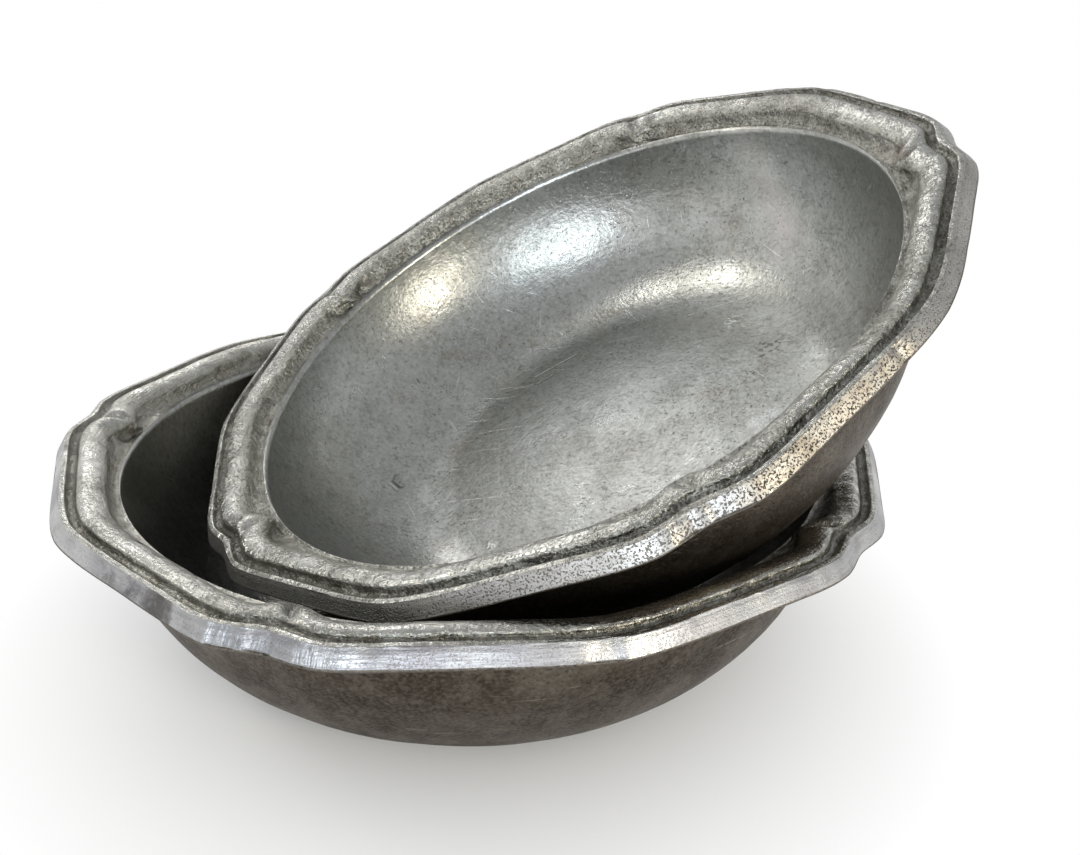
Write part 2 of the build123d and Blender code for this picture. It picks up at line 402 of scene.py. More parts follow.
# %% Places of the two bowls
LEAN_TILT = 29.1
LEAN_DIRECTION = 205.8
LEAN_TURN = 113.1
lean = (Matrix.Rotation(radians(LEAN_DIRECTION), 4, "Z") @ Matrix.Rotation(radians(LEAN_TILT), 4, "Y")
        @ Matrix.Rotation(radians(LEAN_TURN), 4, "Z"))


def moved(points, matrix):
    rotated = points @ np.array(matrix.to_3x3()).T
    return rotated + np.array(matrix.translation)


def middle(points):
    return (points.min(0) + points.max(0)) / 2


low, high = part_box("upper_bowl")
leaning = Matrix.Translation(Vector((low + high) / 2) - Vector(middle(moved(co, lean)))) @ lean
places = {"lower_bowl": Matrix.Translation((0, 0, DEPTH * MM)), "upper_bowl": leaning}
print("the leaning bowl's middle is at", [round(x / MM, 2) for x in leaning.translation], "mm")

# %% [markdown]
# A mesh straight from a rule looks as if it were turned from plastic. A casting is uneven: the sand or the
# mould leaves waves, a file leaves flats, and knocks leave dents. They could be sculpted by hand, but a few
# measured rules in code are easier to change. All of them go inwards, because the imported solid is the
# largest that the bowl may be. Only the bulbs beside the notches rise, by less than the roll stands proud.

# %% Readings from the bowl's mesh
own_points = co.copy()
own_bearing = np.arctan2(own_points[:, 1], own_points[:, 0])
normals = np.array([v.normal for v in plain_bowl.vertices])
readings = {}
for field in ("station", "zone", "wear", "grime"):
    values = np.zeros(len(own_points), np.float32)
    plain_bowl.attributes[field].data.foreach_get("value", values)
    readings[field] = values
if normals[own_points[:, 2].argmin(), 2] > 0:
    print("faces point inwards and are turned round")
    plain_bowl.flip_normals()
    normals = -normals

ring_rows = np.array(stations)
insets = np.interp(readings["station"], range(len(stations)), ring_rows[:, 1])
shares = np.interp(readings["station"], range(len(stations)), ring_rows[:, 2])
heights = own_points[:, 2] / MM
on_top = (readings["zone"] == CAST)
across = np.clip((insets - ROLL_START) / ROLL_WIDTH, 0, 1)
on_roll = np.sin(pi * across) * on_top * (shares > 0.99)
on_scoop = np.where(on_top & (shares < 1), np.sin(pi * shares) ** 0.7, 0.0)
lobe_angle = 2 * pi / LOBES
past_notch = ((own_bearing / lobe_angle) % 1 - 0.5) * lobe_angle * NOTCH_REACH
print("points on the rim's top", int(on_top.sum()))

# %% [markdown]
# At a notch two lobes meet. Each lobe's roll ends in a small bulb with a curved cleft between them, and a
# bright ridge runs on from the cleft over the scoop to the well's edge, with a hollow to each side of it.

# %% Clefts, bulbs and ridges
CLEFT_DEPTH, CLEFT_WIDTH, CLEFT_LEAN = 1.2, 1.1, 2.2
BULB_RISE, BULB_PLACE, BULB_WIDTH = 0.3, 3.0, 2.2
RIDGE_RISE, RIDGE_WIDTH, RIDGE_LEAN = 0.85, 1.1, 3.0
RIDGE_START, RIDGE_CURVE = 0.9, 1.5
NOTCH_DIRT = 0.8
HOLLOW_DEPTH, HOLLOW_PLACE, HOLLOW_WIDTH = 0.7, 4.6, 2.4


def hump(distance, width):
    return np.exp(-(distance / width) ** 2)


cleft_line = past_notch - CLEFT_LEAN * (1 - across) ** 2
ridge_line = past_notch - RIDGE_START + RIDGE_LEAN * (1 - shares) ** RIDGE_CURVE
moulding = on_roll * (BULB_RISE * hump(np.abs(cleft_line) - BULB_PLACE, BULB_WIDTH)
                      - CLEFT_DEPTH * hump(cleft_line, CLEFT_WIDTH))
moulding += on_scoop * (RIDGE_RISE * hump(ridge_line, RIDGE_WIDTH)
                        - HOLLOW_DEPTH * hump(np.abs(ridge_line) - HOLLOW_PLACE, HOLLOW_WIDTH))
notch_dirt = NOTCH_DIRT * (on_roll * hump(cleft_line, CLEFT_WIDTH)
                           + on_scoop * hump(np.abs(ridge_line) - HOLLOW_PLACE, HOLLOW_WIDTH))
print("the notches' relief in mm", round(float(moulding.min()), 2), "to", round(float(moulding.max()), 2))

# %% [markdown]
# The rim's outer face was cleaned up with a file, a stroke at a time, so it is a row of slightly different
# flats, and a few later cuts went deeper. Each bowl draws its own flats, waves and knocks from its own seed.

# %% Uneven casting
# Each wave's size, and how deep it goes in the turned, cast, filed and tarnished, shade-darkened zones
WAVES = ((26.0, (0.14, 0.28, 0.26, 0.30)),
         (8.0, (0.04, 0.24, 0.16, 0.12)),
         (3.0, (0.0, 0.16, 0.07, 0.04)))
FLAT_LENGTHS = (7.0, 22.0)
FLAT_CUT = 0.1
FLAT_TILT = 0.05
DEEP_FLATS = {"lower_bowl": ((246.0, 249.3), (250.2, 253.2), (284.0, 287.5)),
              "upper_bowl": ((324.5, 329.3), (320.6, 323.4), (350.8, 352.6))}
DEEP_CUT = 0.35
DEEP_RAMP = 0.4
KNOCKS, KNOCK_SIZE, KNOCK_DEPTH = 16, (0.8, 2.0), 0.22
SLIGHTEST_KNOCK = 0.3


def waves(points, size, seed):
    """Smooth noise between 0 and 1 at each point, its lumps about one size across."""
    shift = Vector((seed * 17.3, seed * 5.1, -seed * 9.7))
    return np.array([noise.noise(Vector(point) / (size * MM) + shift) for point in points]) * 0.5 + 0.5


def unevenness(node, seed):
    """How far each point goes inwards, in millimetres."""
    draw = np.random.default_rng(seed)
    depth = np.zeros(len(own_points))
    for size, amounts in WAVES:
        depth += np.array(amounts)[readings["zone"].astype(int)] * waves(own_points, size, seed)
    edges = [0.0]
    while edges[-1] < 2 * pi:
        edges.append(edges[-1] + draw.uniform(*FLAT_LENGTHS) / CORNER_REACH)
    number = np.searchsorted(edges, own_bearing % (2 * pi))
    cut = draw.uniform(0, FLAT_CUT, len(edges) + 1)[number]
    tilt = draw.uniform(-FLAT_TILT, FLAT_TILT, len(edges) + 1)[number]
    filed = np.abs(readings["zone"] - FILED) < 0.5
    depth += filed * np.clip(cut + tilt * (heights + BAND_HEIGHT / 2), 0, None)
    for start, end in DEEP_FLATS[node]:
        turned_by = np.degrees(own_bearing) % 360
        inside = np.clip(np.minimum(turned_by - start, end - turned_by) / DEEP_RAMP, 0, 1)
        depth += filed * inside * DEEP_CUT
    rim_edge = own_points[np.abs(insets - 0.2) < 0.15]
    for spot in rim_edge[draw.integers(0, len(rim_edge), KNOCKS)]:
        size = draw.uniform(*KNOCK_SIZE)
        away = np.linalg.norm(own_points - spot, axis=1) / MM
        depth += draw.uniform(SLIGHTEST_KNOCK, 1.0) * KNOCK_DEPTH * hump(away, size)
    return depth


print("sizes of the waves in mm", [size for size, amounts in WAVES])

# %% [markdown]
# Both bowls start from the plain mesh. Each point moves along its normal by the notches' relief less its own
# bowl's unevenness, and keeps its place in the bowl's own frame as an attribute for the finishes. High places
# are rubbed most, so the wear fades where a bowl goes deep. Then the mesh is put in its bowl's place.

# %% Bowls
BODIES = {"lower_bowl": "lower", "upper_bowl": "upper"}
SEEDS = {"lower_bowl": 3, "upper_bowl": 8}
SECOND_BOWL_OFFSET = 0.3
for node, body in BODIES.items():
    mesh = plain_bowl.copy()
    mesh.name = node + "_pewter"
    depth = unevenness(node, SEEDS[node])
    shift = (moulding - depth) * MM
    shaped = own_points + normals * shift[:, None]
    rubbed = readings["wear"] * np.clip(1.5 - depth / depth.mean() * 0.6, 0.3, 1.0)
    dirty = np.clip(readings["grime"] + notch_dirt, 0, 1)
    mesh.attributes["wear"].data.foreach_set("value", rubbed.astype(np.float32))
    mesh.attributes["grime"].data.foreach_set("value", dirty.astype(np.float32))
    own = mesh.attributes.new("bowl_place", "FLOAT_VECTOR", "POINT")
    offset = np.array((0, 0, SECOND_BOWL_OFFSET * (node == "upper_bowl")))
    own.data.foreach_set("vector", (shaped + offset).astype(np.float32).ravel())
    mesh.vertices.foreach_set("co", moved(shaped, places[node]).astype(np.float32).ravel())
    mesh.update()
    bowl = bpy.data.objects.new(node + "_pewter", mesh)
    scene.collection.objects.link(bowl)
    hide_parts(node)
    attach(bowl, body)
    print(node, "goes inwards by up to", round(-float(shift.min()) / MM, 2), "mm")

# %% [markdown]
# Pewter is mostly tin. New, it is nearly as bright as silver; old, it wears a grey skin that is thin where
# hands rub and thick in the hollows. Every finish here is that one metal, so all are fully metallic, and the
# skin only darkens the colour and roughens the gloss. Colours are written as sRGB and turned to linear.
# All patterns read the bowl's own coordinates, kept on the mesh, so they turn and lean with the bowl.
# The leaning bowl's are moved up by 300 mm, so that the two bowls wear differently.
# Pattern sizes are real millimetres. Grain and pits too fine to show in the render are drawn as coarse as
# they need to be.

# %% Helpers for finishes


def linear(code):
    """An sRGB hex colour as linear values with full alpha."""
    shown = [int(code[i:i + 2], 16) / 255 for i in (0, 2, 4)]
    return tuple(v / 12.92 if v <= 0.04045 else ((v + 0.055) / 1.055) ** 2.4 for v in shown) + (1.0,)


def opened(material):
    """The material's empty tree, its shader, and the bowl's own coordinates in millimetres."""
    material.use_nodes = True
    tree = material.node_tree
    tree.nodes.clear()
    shader = add(tree, "ShaderNodeBsdfPrincipled", {"Metallic": 1.0})
    add(tree, "ShaderNodeOutputMaterial", [shader])
    stored = add(tree, "ShaderNodeAttribute", attribute_name="bowl_place").outputs["Vector"]
    place = add(tree, VECTOR_MATH, {0: stored, "Scale": 1 / MM}, operation="SCALE")
    return tree, shader, place


def layer(tree, colour, mask, strength, code):
    """A colour with another laid over it where a mask says."""
    share = add(tree, MATH, [mask, strength], operation="MULTIPLY")
    return add(tree, "ShaderNodeMix", {0: share, 6: colour, 7: linear(code)}, data_type="RGBA")


def spots(tree, place, size, low, high, detail=3.0, seed=0.0, stretch=(1, 1, 1)):
    """A mask of noise whose lumps are about one size across, in millimetres."""
    stretched = add(tree, VECTOR_MATH, [place, stretch], operation="MULTIPLY")
    inputs = {"Vector": stretched, "W": seed, "Scale": 1 / size, "Detail": detail}
    pattern = add(tree, "ShaderNodeTexNoise", inputs, noise_dimensions="4D")
    return add(tree, "ShaderNodeMapRange", [pattern, low, high, 0, 1])


def joined(tree, masks):
    """Several masks as one, the strongest at each point."""
    whole = masks[0]
    for mask in masks[1:]:
        whole = add(tree, MATH, [whole, mask], operation="MAXIMUM")
    return whole


print("mid grey in linear light", round(linear("808080")[0], 3))

# %% [markdown]
# The well was turned on a lathe and burnished, then scoured for years. It is the smoothest finish, a neutral
# grey with faint turning lines, cloudy where the burnish has gone. Fine scratches run across it, and small
# dark pits and dashes lie thickest where the casting was porous.

# %% Colour of the turned pewter
tree, shader, place = opened(finishes[TURNED])
clouds = spots(tree, place, 26.0, 0.35, 0.65, detail=5)
film = spots(tree, place, 7.0, 0.42, 0.68, detail=6, seed=2)
stains = spots(tree, place, 9.0, 0.6, 0.72, detail=5, seed=3)
grain = spots(tree, place, 0.75, 0.35, 0.65, detail=4, seed=5)
specks = spots(tree, place, 1.1, 0.52, 0.66, detail=5, seed=6, stretch=(0.6, 1.2, 1))
dimples = spots(tree, place, 3.6, 0.3, 0.7, detail=5, seed=18)
porous = spots(tree, place, 12.0, 0.4, 0.66, seed=7)
pits = spots(tree, place, 0.6, 0.61, 0.69, detail=4, seed=9, stretch=(0.7, 1.3, 1))
dashes = spots(tree, place, 0.55, 0.65, 0.72, detail=2, seed=10, stretch=(1.5, 0.5, 1))
pits = joined(tree, [pits, dashes])
share = add(tree, MATH, [porous, 0.7, 0.3], operation="MULTIPLY_ADD")
pits = add(tree, MATH, [pits, share], operation="MULTIPLY")
hairlines = []
for turn_angle, seed in ((0.5, 11), (-0.35, 12), (1.3, 13)):
    across_place = add(tree, "ShaderNodeVectorRotate", {"Vector": place, "Angle": turn_angle},
                       rotation_type="Z_AXIS")
    hairlines.append(spots(tree, across_place, 1.0, 0.71, 0.76, detail=1, seed=seed,
                           stretch=(0.04, 2.8, 0.2)))
hairlines = joined(tree, hairlines)
slanted = add(tree, "ShaderNodeVectorRotate", {"Vector": place, "Angle": 0.9}, rotation_type="Z_AXIS")
smears = spots(tree, slanted, 1.6, 0.45, 0.66, detail=5, seed=17, stretch=(0.15, 1, 1))
colour = add(tree, "ShaderNodeMix", {0: clouds, 6: linear("b7b8b5"), 7: linear("9b9c97")}, data_type="RGBA")
colour = layer(tree, colour, film, 0.55, "84837c")
colour = layer(tree, colour, smears, 0.2, "cfd0cd")
colour = layer(tree, colour, stains, 0.5, "8c8170")
colour = layer(tree, colour, specks, 0.55, "75746d")
colour = layer(tree, colour, grain, 0.4, "d3d4d2")
colour = layer(tree, colour, hairlines, 0.5, "dcdee0")
colour = layer(tree, colour, pits, 0.8, "3a3831")
print("nodes in the well's colour", len(tree.nodes))

# %% [markdown]
# Some marks in the leaning bowl are there for good: a crescent nick where something hard was dropped, two
# long scratches on the far wall, a sheaf of short ones by the floor's edge, and a chipped, pitted patch.

# %% Marks in the leaning bowl
UPPER_Z = SECOND_BOWL_OFFSET / MM
# Start, end and width of each scratch and cut, and centre and size of each chip, in the bowl's millimetres
SCRATCHES = (
    ((-10.1, 62.1, -24.3), (-10.3, 57.8, -29.7), 0.22),
    ((-34.4, 55.5, -20.0), (-30.0, 53.2, -26.9), 0.22),
    ((-36.5, 14.0, -38.0), (-29.5, 23.5, -38.0), 0.35),
    ((-45.6, -32.1, -32.6), (-43.2, -32.5, -33.5), 0.5),
)
CUTS = (
    ((-33.8, 11.5, -38.0), (-29.8, 17.4, -38.0), 0.3),
    ((-62.2, -1.2, -26.6), (-58.6, -2.8, -29.0), 0.35),
    ((-58.6, -2.8, -29.0), (-57.6, -1.8, -29.4), 0.3),
    ((-46.9, -29.2, -33.2), (-45.8, -31.0, -33.1), 0.55),
    ((-45.8, -31.0, -33.1), (-43.4, -31.4, -34.0), 0.6),
    ((-43.4, -31.4, -34.0), (-42.0, -28.6, -34.9), 0.5),
)
CHIPS = (((9.5, 38.9, -37.8), 3.0), ((13.8, 38.0, -37.8), 1.6), ((-9.0, -38.0, -38.0), 1.8))


def upper(x, y, z):
    """A point of the leaning bowl, in its own millimetres, where the patterns read it."""
    return x, y, z + UPPER_Z


def patch(tree, place, centre, size, ragged):
    """A ragged spot round one point of a bowl."""
    away = add(tree, VECTOR_MATH, [place, centre], operation="DISTANCE")
    frayed = add(tree, MATH, [ragged, size * 0.8, away], operation="MULTIPLY_ADD")
    return add(tree, "ShaderNodeMapRange", [frayed, size * 1.5, size * 0.9, 0, 1])


def scratch(tree, place, start, end, width):
    """A straight scratch between two points of a bowl, fading to its sides."""
    run = Vector(end) - Vector(start)
    beside = add(tree, VECTOR_MATH, [place, start], operation="SUBTRACT")
    along = add(tree, VECTOR_MATH, [beside, run], operation="DOT_PRODUCT")
    along = add(tree, "ShaderNodeMapRange", [along, 0, run.length_squared, 0, 1])
    nearest = add(tree, VECTOR_MATH, {0: run, "Scale": along}, operation="SCALE")
    away = add(tree, VECTOR_MATH, [beside, nearest], operation="DISTANCE")
    return add(tree, "ShaderNodeMapRange", [away, width, 0, 0, 1])


ragged = spots(tree, place, 1.6, 0.3, 0.7, detail=4, seed=14)
bright_marks, dark_marks = (
    joined(tree, [scratch(tree, place, upper(*start), upper(*end), width) for start, end, width in table])
    for table in (SCRATCHES, CUTS)
)
chips = joined(tree, [patch(tree, place, upper(*centre), size, ragged) for centre, size in CHIPS])
chipped = spots(tree, place, 1.3, 0.48, 0.6, detail=3, seed=15)
chips = add(tree, MATH, [chips, chipped], operation="MULTIPLY")
pitted = patch(tree, place, upper(24.0, 30.5, -38.0), 4.5, ragged)
coarse = spots(tree, place, 1.2, 0.5, 0.6, detail=4, seed=16)
pitted = add(tree, MATH, [pitted, coarse], operation="MULTIPLY")
# Partly a polished streak and partly painted sheen: a pale pinkish streak is lightened into the colour high
# on the far wall.
painted_sheen_streak = scratch(tree, place, upper(8.5, 68.0, -10.0), upper(17.5, 58.5, -28.0), 8.0)
colour = layer(tree, colour, painted_sheen_streak, 0.55, "d8d1ce")
colour = layer(tree, colour, pitted, 0.6, "56544d")
colour = layer(tree, colour, chips, 0.8, "e4e6e4")
colour = layer(tree, colour, bright_marks, 0.7, "e2e4e6")
colour = layer(tree, colour, dark_marks, 0.75, "3a3832")
print("marks in the leaning bowl", len(SCRATCHES), "bright and", len(CUTS), "dark")

# %% [markdown]
# The burnish is glossiest where the cloudy film is thin, and pits are dull. The lathe's lines are rings, so
# their noise reads only the distance from the axis. A bump is enough for marks that are this shallow.

# %% Gloss and relief of the turned pewter


def from_axis(tree, place):
    """How far a point is from its own bowl's axis."""
    flat = add(tree, VECTOR_MATH, [place, (1, 1, 0)], operation="MULTIPLY")
    return add(tree, VECTOR_MATH, [flat], operation="LENGTH")


def summed(tree, start, amounts):
    """A value with each mask added to it, times its amount."""
    for mask, amount in amounts:
        start = add(tree, MATH, [mask, amount, start], operation="MULTIPLY_ADD")
    return start


def finished(tree, shader, colour, gloss, relief, strength, distance):
    """Gives the shader its colour, its roughness and a relief so many millimetres deep."""
    bump = add(tree, "ShaderNodeBump", {"Strength": strength, "Distance": distance * MM, "Height": relief})
    tree.links.new(colour.outputs[2], shader.inputs["Base Color"])
    tree.links.new(gloss.outputs[0], shader.inputs["Roughness"])
    tree.links.new(bump.outputs[0], shader.inputs["Normal"])
    print("nodes in the finish", len(tree.nodes))


ring_place = add(tree, "ShaderNodeCombineXYZ", [from_axis(tree, place)])
lathe = add(tree, "ShaderNodeTexNoise", {"Vector": ring_place, "Scale": 1 / 0.5, "Detail": 3.0})
gloss = add(tree, "ShaderNodeMapRange", [clouds, 0, 1, 0.24, 0.33])
gloss = summed(tree, gloss, [(film, 0.08), (pits, 0.25)])
relief = summed(tree, lathe, [
    (grain, 0.8), (dimples, 1.6), (pits, -1.6), (hairlines, -0.5),
    (bright_marks, -2.5), (dark_marks, -4.0), (chips, 5.0), (pitted, -2.5),
])
finished(tree, shader, colour, gloss, relief, 0.6, 0.05)

# %% [markdown]
# The mouldings were left as they came from the mould. The skin of the casting is grainy and full of fine
# pits, a warm, faintly green grey in the hollows, and the crests are rubbed bright. The standing bowl was
# scoured more, along the rim, so its mouldings are smoother and carry long fine streaks.

# %% Colour of the cast pewter
ROLL_REACH = 78.0


def round_rim(tree, place, reach):
    """Whether a point is on the leaning bowl, its run round the rim at a reach, and its height."""
    apart = add(tree, "ShaderNodeSeparateXYZ", [place])
    x, y, height = apart.outputs
    leaning_bowl = add(tree, "ShaderNodeMapRange", [height, UPPER_Z / 2, UPPER_Z / 2 + 1, 0, 1])
    angle = add(tree, MATH, [y, x], operation="ARCTAN2")
    along = add(tree, MATH, [angle, reach], operation="MULTIPLY")
    return leaning_bowl, along, height


tree, shader, place = opened(finishes[CAST])
wear = add(tree, "ShaderNodeAttribute", attribute_name="wear").outputs["Fac"]
grime = add(tree, "ShaderNodeAttribute", attribute_name="grime").outputs["Fac"]
leaning_bowl, along, height = round_rim(tree, place, ROLL_REACH)
rim_run = add(tree, "ShaderNodeCombineXYZ", [along, from_axis(tree, place), height])
clouds = spots(tree, place, 18.0, 0.38, 0.62, detail=4, seed=20)
stains = spots(tree, place, 5.0, 0.45, 0.68, detail=5, seed=21)
grain = spots(tree, place, 0.8, 0.36, 0.64, detail=5, seed=22)
porous = spots(tree, place, 7.0, 0.38, 0.62, detail=3, seed=25)
pits = spots(tree, place, 0.4, 0.54, 0.66, detail=4, seed=23)
crystals = spots(tree, place, 0.5, 0.56, 0.66, detail=4, seed=24)
lumps = spots(tree, place, 2.4, 0.32, 0.68, detail=5, seed=28)
mottle = spots(tree, place, 3.4, 0.45, 0.62, detail=6, seed=29)
streaks = spots(tree, rim_run, 0.45, 0.4, 0.66, detail=3, seed=26, stretch=(0.05, 1, 1))
roughness = add(tree, "ShaderNodeMapRange", [leaning_bowl, 0, 1, 0.3, 0.8])
rough = add(tree, MATH, [porous, 0.3, roughness], operation="MULTIPLY_ADD")
pits = add(tree, MATH, [pits, rough], operation="MULTIPLY")
thin = add(tree, "ShaderNodeMapRange", [clouds, 0, 1, 1.0, 0.6])
rubbed = add(tree, MATH, [wear, thin], operation="MULTIPLY")
thick = add(tree, "ShaderNodeMapRange", [stains, 0, 1, 0.55, 1.0])
dirty = add(tree, MATH, [grime, thick], operation="MULTIPLY")
colour = add(tree, "ShaderNodeMix", {0: clouds, 6: linear("b8b8b0"), 7: linear("a2a19a")}, data_type="RGBA")
colour = layer(tree, colour, stains, 0.5, "867c68")
colour = layer(tree, colour, streaks, 0.3, "b9b9b2")
colour = layer(tree, colour, mottle, 0.6, "69665c")
colour = layer(tree, colour, grain, 0.4, "cccac1")
colour = layer(tree, colour, dirty, 0.65, "403d35")
colour = layer(tree, colour, rubbed, 0.8, "dbdbd7")
# Painted shade: the low places of the lumps are darkened in the colour, as if shade fell in them.
painted_dip_shade = add(tree, "ShaderNodeMapRange", [lumps, 0.45, 0.1, 0, 1])
colour = layer(tree, colour, painted_dip_shade, 0.35, "5f5c52")
colour = layer(tree, colour, crystals, 0.4, "e0dfd9")
colour = layer(tree, colour, pits, 0.55, "3a3831")
print("nodes in the mouldings' colour", len(tree.nodes))

# %% [markdown]
# One notch of the leaning bowl has a faint brown crescent of old dirt at its inner end. Rubbing polishes the
# crests and flattens their grain, so the wear lowers both the roughness and the bump.

# %% Gloss and relief of the cast pewter
ragged = spots(tree, place, 1.6, 0.3, 0.7, detail=4, seed=27)
crescent = joined(tree, [
    scratch(tree, place, upper(55.5, 46.5, -2.2), upper(57.2, 44.4, -2.2), 3.0),
    scratch(tree, place, upper(57.2, 44.4, -2.2), upper(60.0, 43.0, -2.0), 2.8),
])
colour = layer(tree, colour, crescent, 0.9, "55412f")
gloss = add(tree, "ShaderNodeMapRange", [rubbed, 0, 0.8, 0.36, 0.15])
gloss = summed(tree, gloss, [(pits, 0.3)])
relief = add(tree, MATH, [grain, rough], operation="MULTIPLY")
lumpy = add(tree, MATH, [lumps, rough], operation="MULTIPLY")
relief = summed(tree, relief, [(lumpy, 2.8), (pits, -1.0), (streaks, 0.35), (crescent, -3.0)])
smoothed = add(tree, "ShaderNodeMapRange", [rubbed, 0.1, 0.8, 1.0, 0.3])
finished(tree, shader, colour, gloss, relief, smoothed, 0.16)

# %% [markdown]
# The rim's outer face was filed. On the standing bowl it is silver, with fine marks along it, a few flats
# with fresh marks across, and dark smudges. On the leaning bowl it is finely pitted all over, lilac grey, and
# one long stretch is pale, where the grey skin is gone and the porous metal shows.

# %% Patterns of the filed pewter
BAND_REACH = 82.0


def rim_place(lift, bearing, reach=BAND_REACH, height=-BAND_HEIGHT / 2):
    """A point of a bowl's own rim, at a bearing in degrees."""
    angle = radians(bearing)
    return reach * cos(angle), reach * sin(angle), height + lift


tree, shader, place = opened(finishes[FILED])
leaning_bowl, along, height = round_rim(tree, place, BAND_REACH)
band_run = add(tree, "ShaderNodeCombineXYZ", [along, height])
cross_marks = spots(tree, band_run, 0.35, 0.42, 0.62, detail=3, seed=31, stretch=(1, 0.14, 1))
long_marks = spots(tree, band_run, 0.4, 0.4, 0.66, detail=3, seed=36, stretch=(0.06, 1, 1))
clouds = spots(tree, place, 15.0, 0.4, 0.62, detail=4, seed=32)
stains = spots(tree, place, 4.0, 0.5, 0.66, detail=5, seed=33)
pits = spots(tree, place, 0.33, 0.52, 0.62, detail=4, seed=34)
blotches = spots(tree, place, 3.0, 0.4, 0.6, detail=4, seed=37)
ragged = spots(tree, place, 2.0, 0.3, 0.7, detail=4, seed=35)
pale = joined(tree, [patch(tree, place, rim_place(UPPER_Z, bearing), size, ragged)
                     for bearing, size in ((350, 6), (343, 8), (335, 8), (331, 4.5), (322, 2.2))])
fresh = joined(tree, [patch(tree, place, rim_place(0, bearing), size, ragged)
                      for bearing, size in ((247.6, 2.8), (251.8, 2.6), (257.8, 3.6), (286, 2.4))])
dark = joined(tree, [patch(tree, place, rim_place(lift, bearing), size, ragged)
                     for lift, bearing, size in ((0, 229, 3.5), (0, 233, 4), (0, 238, 5), (0, 249.8, 1.2),
                                                 (UPPER_Z, 352.5, 1.0))])
purple = patch(tree, place, rim_place(0, 268), 7, ragged)
print("nodes in the band's patterns", len(tree.nodes))

# %% [markdown]
# The patterns become layers of colour, each laid over the last: first what the whole band shares, then each
# bowl's own stretches, and the pits on top, because they are holes in all of it.

# %% Colour of the filed pewter
more = add(tree, "ShaderNodeMapRange", [leaning_bowl, 0, 1, 0.25, 0.8])
more = add(tree, MATH, [pale, 0.3, more], operation="MULTIPLY_ADD")
pits = add(tree, MATH, [pits, more], operation="MULTIPLY")
crossed = add(tree, MATH, [cross_marks, fresh], operation="MULTIPLY")
colour = add(tree, "ShaderNodeMix", {0: clouds, 6: linear("bcbcbc"), 7: linear("9c9b9f")}, data_type="RGBA")
colour = layer(tree, colour, stains, 0.45, "7b7975")
colour = layer(tree, colour, long_marks, 0.3, "cfcfcf")
colour = layer(tree, colour, leaning_bowl, 0.5, "a9a59d")
colour = layer(tree, colour, purple, 0.5, "7d777c")
colour = layer(tree, colour, fresh, 0.6, "d3d6da")
colour = layer(tree, colour, crossed, 0.6, "6f7276")
colour = layer(tree, colour, pale, 0.85, "cfc8bb")
worn = add(tree, MATH, [pale, blotches], operation="MULTIPLY")
colour = layer(tree, colour, worn, 0.6, "9c9080")
colour = layer(tree, colour, dark, 0.75, "4e4b47")
colour = layer(tree, colour, pits, 0.85, "3a3630")
print("nodes in the band's colour", len(tree.nodes))

# %% [markdown]
# A filed face is a satin one: duller than the burnished well, and duller still where the skin is gone. The
# file's marks run along the band, and the fresh ones across it.

# %% Gloss and relief of the filed pewter
gloss = add(tree, "ShaderNodeMapRange", [clouds, 0, 1, 0.34, 0.44])
gloss = summed(tree, gloss, [(pale, 0.15), (pits, 0.2)])
relief = add(tree, MATH, [pits, -1.3], operation="MULTIPLY")
relief = summed(tree, relief, [(long_marks, 0.3), (crossed, -1.0), (dark, -0.6)])
finished(tree, shader, colour, gloss, relief, 0.7, 0.1)

# %% [markdown]
# Nobody scoured the outside. It keeps a thick brown-grey tarnish, matt and mottled, rubbed a little lighter
# on the foot, where the bowl slides on the table. Its colour is darker still, as painted shade for the wall
# that faces down.

# %% Tarnished pewter with painted shade
tree, shader, place = opened(finishes[TARNISHED_AND_SHADED])
wear = add(tree, "ShaderNodeAttribute", attribute_name="wear").outputs["Fac"]
clouds = spots(tree, place, 20.0, 0.4, 0.62, detail=5, seed=41)
mottle = spots(tree, place, 6.0, 0.45, 0.66, detail=4, seed=42)
blots = spots(tree, place, 6.0, 0.5, 0.68, detail=4, seed=45)
grain = spots(tree, place, 0.6, 0.42, 0.66, detail=4, seed=43)
pits = spots(tree, place, 0.8, 0.57, 0.64, detail=3, seed=44)
scuffs = spots(tree, place, 1.0, 0.66, 0.72, detail=2, seed=46, stretch=(0.1, 0.1, 1.6))
# Painted shade as well as tarnish: the base is darker than the tarnish alone, so the downward-facing wall
# doesn't take a bright reflection of the white paper.
colour = add(tree, "ShaderNodeMix", {0: clouds, 6: linear("554d43"), 7: linear("3a3229")}, data_type="RGBA")
colour = layer(tree, colour, mottle, 0.5, "756e64")
colour = layer(tree, colour, blots, 0.7, "362e26")
colour = layer(tree, colour, grain, 0.3, "8a8278")
colour = layer(tree, colour, scuffs, 0.4, "9c968d")
colour = layer(tree, colour, wear, 0.8, "a09c95")
colour = layer(tree, colour, pits, 0.55, "29241e")
gloss = add(tree, "ShaderNodeMapRange", [clouds, 0, 1, 0.48, 0.6])
relief = summed(tree, grain, [(pits, -1.0)])
finished(tree, shader, colour, gloss, relief, 0.7, 0.1)

# %% [markdown]
# The camera stands where the photographer stood, a little above the rims and close in front. Its place and
# its three directions come from fitting the bowls' outlines to the photograph.

